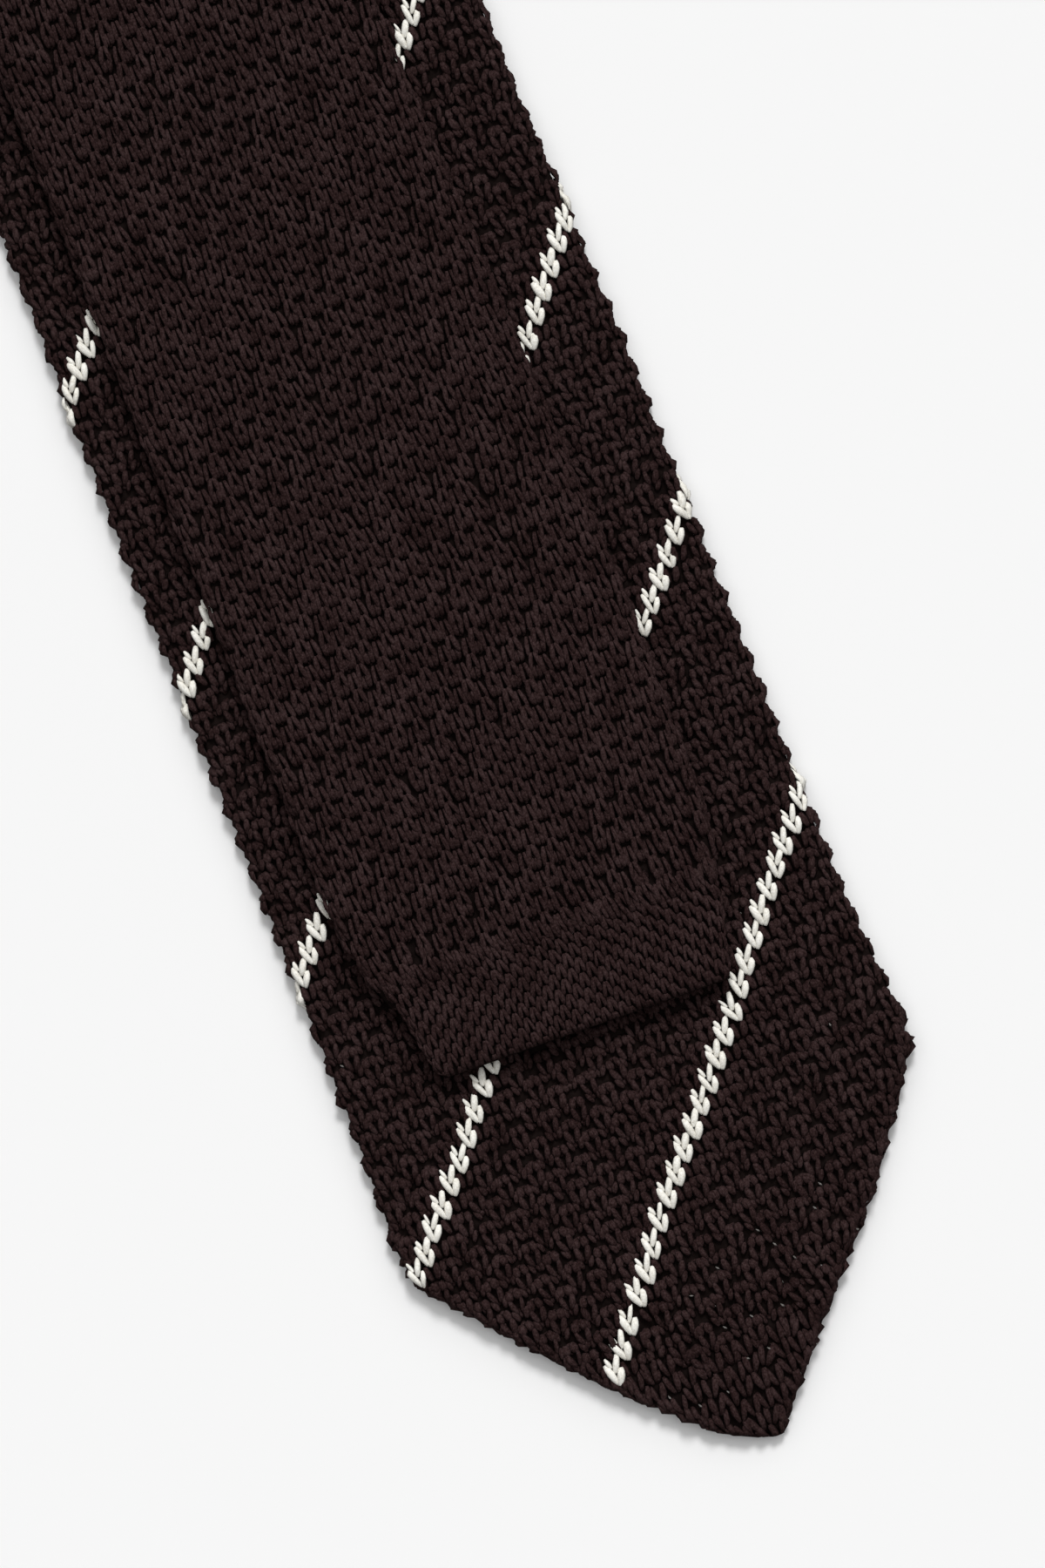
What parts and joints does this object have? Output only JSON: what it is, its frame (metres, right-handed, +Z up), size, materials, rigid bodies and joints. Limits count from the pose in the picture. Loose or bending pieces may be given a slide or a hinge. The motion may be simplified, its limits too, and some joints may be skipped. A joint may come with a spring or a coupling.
{
  "type": "knitted regimental tie",
  "caption": "Knitted tube tie with a pointed broad blade and a square-ended narrow blade, folded over at the neck and lying flat, with thin diagonal stripes.",
  "frame": {"origin": "on the surface that the tie lies on, under the middle of its box", "axes": "+X across the tie, +Y from the pointed tip towards the neck fold, +Z up, out of the upper face of the blades"},
  "size_m": [0.072, 0.7686, 0.0098],
  "materials": {
    "brown_knit": "matt silk-like knit, very dark brown",
    "white_yarn": "matt off-white yarn of the knitted stripes"
  },
  "bodies": {
    "root": {"broad_blade": "brown_knit", "neck_band": "brown_knit", "narrow_blade": "brown_knit", "narrow_end_band": "brown_knit"}
  },
  "joints": []
}
